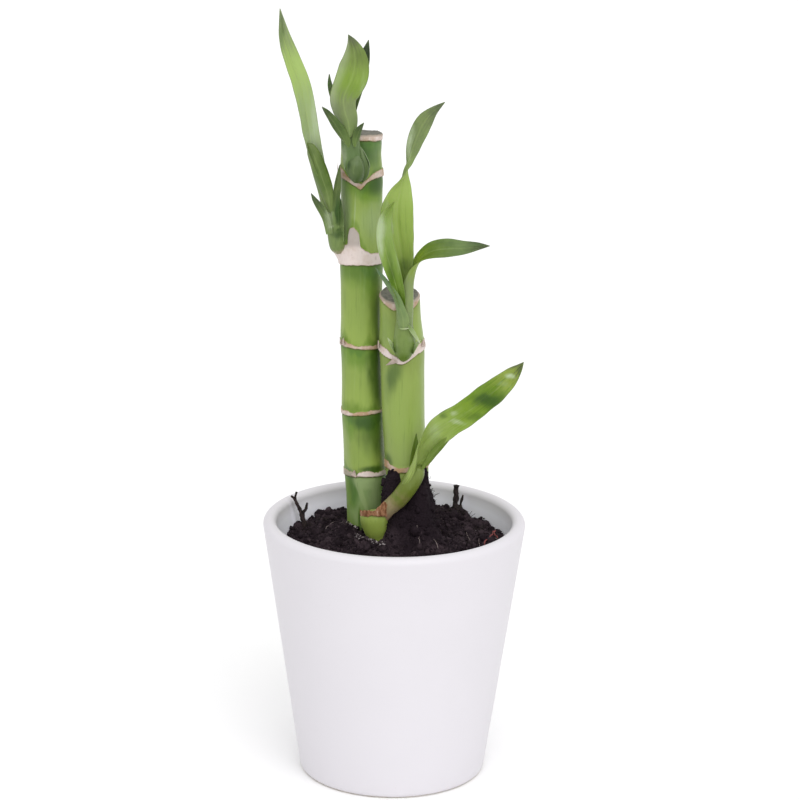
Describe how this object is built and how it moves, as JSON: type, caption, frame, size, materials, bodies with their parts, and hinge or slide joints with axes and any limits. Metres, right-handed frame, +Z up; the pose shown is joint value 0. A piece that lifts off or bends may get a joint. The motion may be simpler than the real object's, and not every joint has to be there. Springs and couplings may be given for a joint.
{
  "type": "potted lucky bamboo",
  "caption": "Two cut lucky bamboo canes with ringed nodes and leafy side shoots, standing in dark soil in a tapered white glazed pot.",
  "frame": {"origin": "on the ground at the centre of the pot's foot ring, which is the bottom centre of the bounding box", "axes": "+Z up along the axis of the pot; -Y towards the front, where most shoots face; +X to the right as seen from the front, the way the lowest leaf points"},
  "size_m": [0.09, 0.09, 0.2649],
  "materials": {
    "glaze": "satin",
    "soil": "matte",
    "cane": "satin",
    "stem": "satin",
    "leaf": "satin",
    "twig": "matte"
  },
  "bodies": {
    "root": {"pot": "glaze", "soil": "soil", "cane_tall": "cane", "cane_short": "cane", "shoot_top": "stem", "shoot_left": "stem", "shoot_short": "stem", "shoot_base": "stem", "leaf_top_broad": "leaf", "leaf_top_back": "leaf", "leaf_left_long": "leaf", "leaf_short_tall": "leaf", "leaf_short_arching": "leaf", "leaf_short_front": "leaf", "leaf_short_narrow": "leaf", "leaf_base": "leaf", "twig_left": "twig", "twig_right": "twig"}
  },
  "joints": []
}
